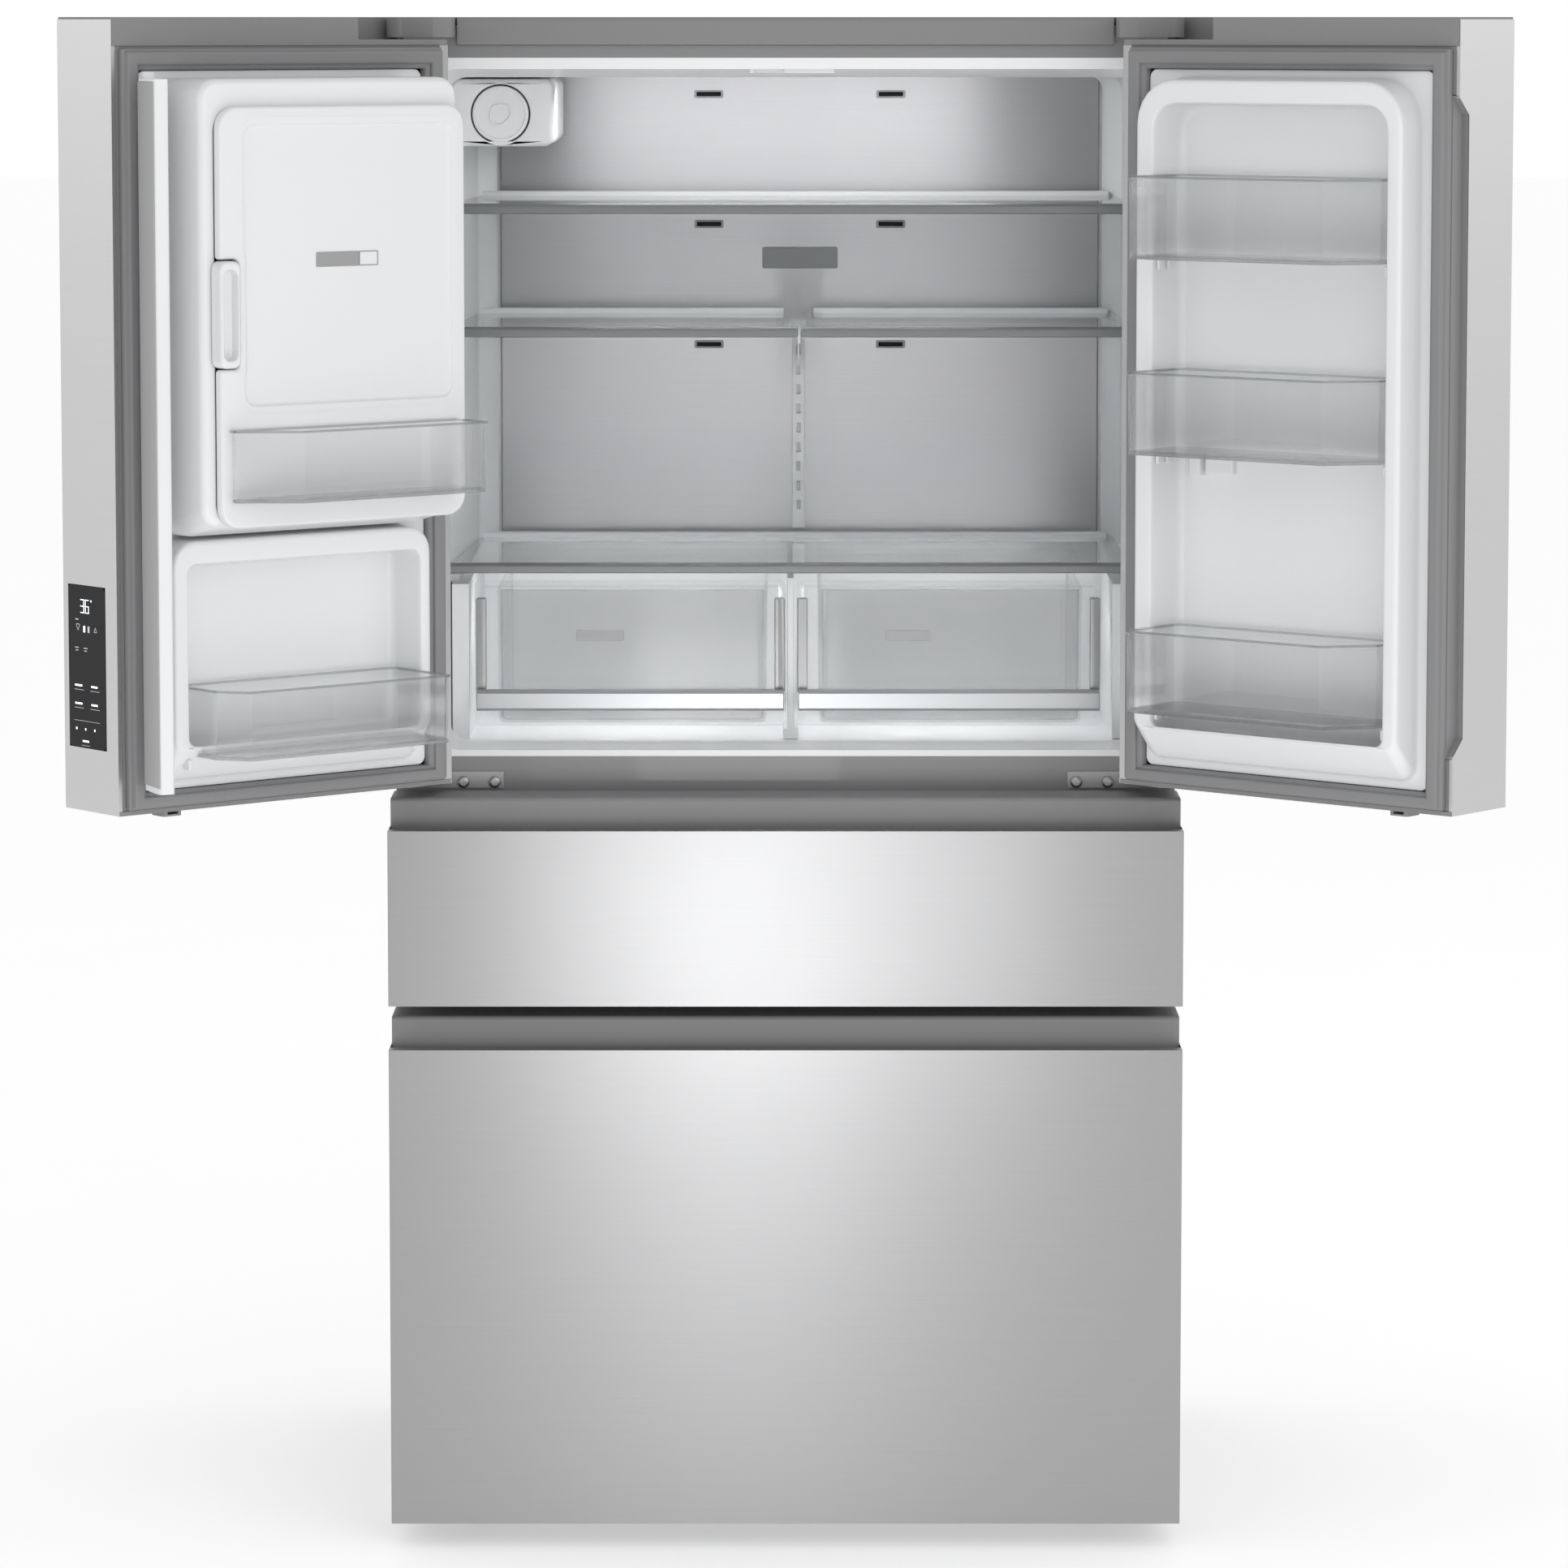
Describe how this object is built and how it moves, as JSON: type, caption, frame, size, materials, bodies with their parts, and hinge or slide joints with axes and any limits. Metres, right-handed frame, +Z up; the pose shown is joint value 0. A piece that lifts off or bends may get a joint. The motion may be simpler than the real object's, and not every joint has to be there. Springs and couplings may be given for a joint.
{
  "type": "french door refrigerator",
  "caption": "Counter-depth french door refrigerator with an in-door ice box, a flexible upper drawer and a freezer drawer, doors standing open.",
  "frame": {"origin": "on the floor, at the centre of the footprint box with both doors open", "axes": "+Z up along the height; +Y from the doors towards the back panel; +X to the right of a person facing the doors"},
  "size_m": [1.5864, 1.0846, 1.7577],
  "materials": {
    "stainless": "fine horizontal brushed, satin",
    "painted_grey": "satin paint",
    "grey_plastic": "fine matte texture",
    "white_plastic": "soft gloss",
    "clear_plastic": "clear, polished",
    "silver_trim": "silver, satin",
    "shelf_glass": "tempered, polished",
    "panel_glass": "black, polished",
    "gasket_rubber": "matte",
    "galvanised_steel": "zinc spangle, dull",
    "insulation": "rigid foam",
    "bright_steel": "bright zinc",
    "dark_plastic": "matte",
    "compressor_black": "gloss black enamel"
  },
  "bodies": {
    "cabinet": {"cabinet_shell": "painted_grey", "cabinet_back": "galvanised_steel", "cabinet_insulation": "insulation", "fridge_liner": "white_plastic", "drawer_liners": "white_plastic", "front_frame": "painted_grey", "top_cap": "grey_plastic", "hinge_covers": "grey_plastic", "top_hinges": "painted_grey", "middle_hinges": "painted_grey", "hinge_screws": "bright_steel", "duct_panel": "stainless", "shelf_glass": "shelf_glass", "wide_shelf_trims": "silver_trim", "half_shelf_trims": "silver_trim", "shelf_track": "white_plastic", "filter_housing": "white_plastic", "mullion_guide": "white_plastic", "crisper_frame": "white_plastic", "drawer_rails": "galvanised_steel", "base_frame": "galvanised_steel", "levelling_feet": "dark_plastic", "compressor": "compressor_black", "fan_shroud": "dark_plastic", "machine_cover": "galvanised_steel", "water_valve": "dark_plastic"},
    "left_door": {"left_door_skin": "stainless", "left_door_caps": "grey_plastic", "left_door_core": "white_plastic", "left_door_gasket": "gasket_rubber", "left_door_bin": "clear_plastic", "ice_housing": "white_plastic", "ice_bucket": "clear_plastic", "dispenser_housing": "dark_plastic", "control_panel": "panel_glass"},
    "mullion": {"mullion_shell": "white_plastic", "mullion_face": "painted_grey"},
    "ice_door": {"ice_cover": "white_plastic", "can_bin": "clear_plastic"},
    "latch": {"ice_latch": "white_plastic"},
    "paddle": {"dispenser_paddle": "dark_plastic"},
    "right_door": {"right_door_skin": "stainless", "right_door_caps": "grey_plastic", "right_door_core": "white_plastic", "right_door_gasket": "gasket_rubber", "right_door_bins": "clear_plastic"},
    "crisper_left_drawer": {"crisper_left": "clear_plastic", "crisper_left_handle": "silver_trim"},
    "crisper_right_drawer": {"crisper_right": "clear_plastic", "crisper_right_handle": "silver_trim"},
    "flex_drawer": {"flex_drawer_front": "stainless", "flex_drawer_inner": "grey_plastic", "flex_drawer_tub": "white_plastic"},
    "freezer_drawer": {"freezer_drawer_front": "stainless", "freezer_drawer_inner": "grey_plastic", "freezer_drawer_tub": "white_plastic"},
    "basket": {"freezer_basket": "clear_plastic"},
    "water_filter": {"filter_cartridge": "white_plastic"},
    "fan": {"condenser_fan": "dark_plastic"},
    "rollers": {"rear_rollers": "dark_plastic"}
  },
  "joints": [
    {"name": "left_door_hinge", "type": "hinge", "parent": "cabinet", "child": "left_door", "pos_m": [-0.438, -0.15467, 0.891], "axis": [0, 0, -1], "range_deg": [-140, 0]},
    {"name": "right_door_hinge", "type": "hinge", "parent": "cabinet", "child": "right_door", "pos_m": [0.438, -0.15467, 0.891], "axis": [0, 0, 1], "range_deg": [-140, 0]},
    {"name": "mullion_fold", "type": "hinge", "parent": "left_door", "child": "mullion", "pos_m": [-0.68973, -0.49252, 0.9216], "axis": [0, 0, 1], "range_deg": [-75, 0]},
    {"name": "ice_cover_hinge", "type": "hinge", "parent": "left_door", "child": "ice_door", "pos_m": [-0.35434, -0.32205, 1.208], "axis": [0, 0, 1], "range_deg": [0, 95]},
    {"name": "ice_latch_pull", "type": "hinge", "parent": "ice_door", "child": "latch", "pos_m": [-0.59375, -0.51511, 1.3815], "axis": [0, 0, 1], "range_deg": [0, 12], "stiffness_Nm_per_rad": 0.4},
    {"name": "dispenser_press", "type": "hinge", "parent": "left_door", "child": "paddle", "pos_m": [-0.59155, -0.29526, 1.176], "axis": [-0.766, -0.6428, 0], "range_deg": [0, 8], "stiffness_Nm_per_rad": 0.5},
    {"name": "crisper_left_slide", "type": "slide", "parent": "cabinet", "child": "crisper_left_drawer", "axis": [0, -1, 0], "range_m": [0, 0.3]},
    {"name": "crisper_right_slide", "type": "slide", "parent": "cabinet", "child": "crisper_right_drawer", "axis": [0, -1, 0], "range_m": [0, 0.3]},
    {"name": "flex_drawer_slide", "type": "slide", "parent": "cabinet", "child": "flex_drawer", "axis": [0, -1, 0], "range_m": [0, 0.4]},
    {"name": "freezer_drawer_slide", "type": "slide", "parent": "cabinet", "child": "freezer_drawer", "axis": [0, -1, 0], "range_m": [0, 0.4]},
    {"name": "freezer_basket_slide", "type": "slide", "parent": "cabinet", "child": "basket", "axis": [0, -1, 0], "range_m": [0, 0.4]},
    {"name": "filter_turn", "type": "hinge", "parent": "cabinet", "child": "water_filter", "pos_m": [-0.333, 0.06033, 1.645], "axis": [0, 1, 0], "range_deg": [0, 90]},
    {"name": "condenser_fan_spin", "type": "hinge", "parent": "cabinet", "child": "fan", "pos_m": [0.06, 0.42733, 0.165], "axis": [1, 0, 0], "continuous": true},
    {"name": "rear_roller_spin", "type": "hinge", "parent": "cabinet", "child": "rollers", "pos_m": [0.4, 0.45233, 0.02], "axis": [1, 0, 0], "continuous": true}
  ],
  "couplings": [
    {"joint": "freezer_basket_slide", "follows": "freezer_drawer_slide", "ratio": 1}
  ]
}
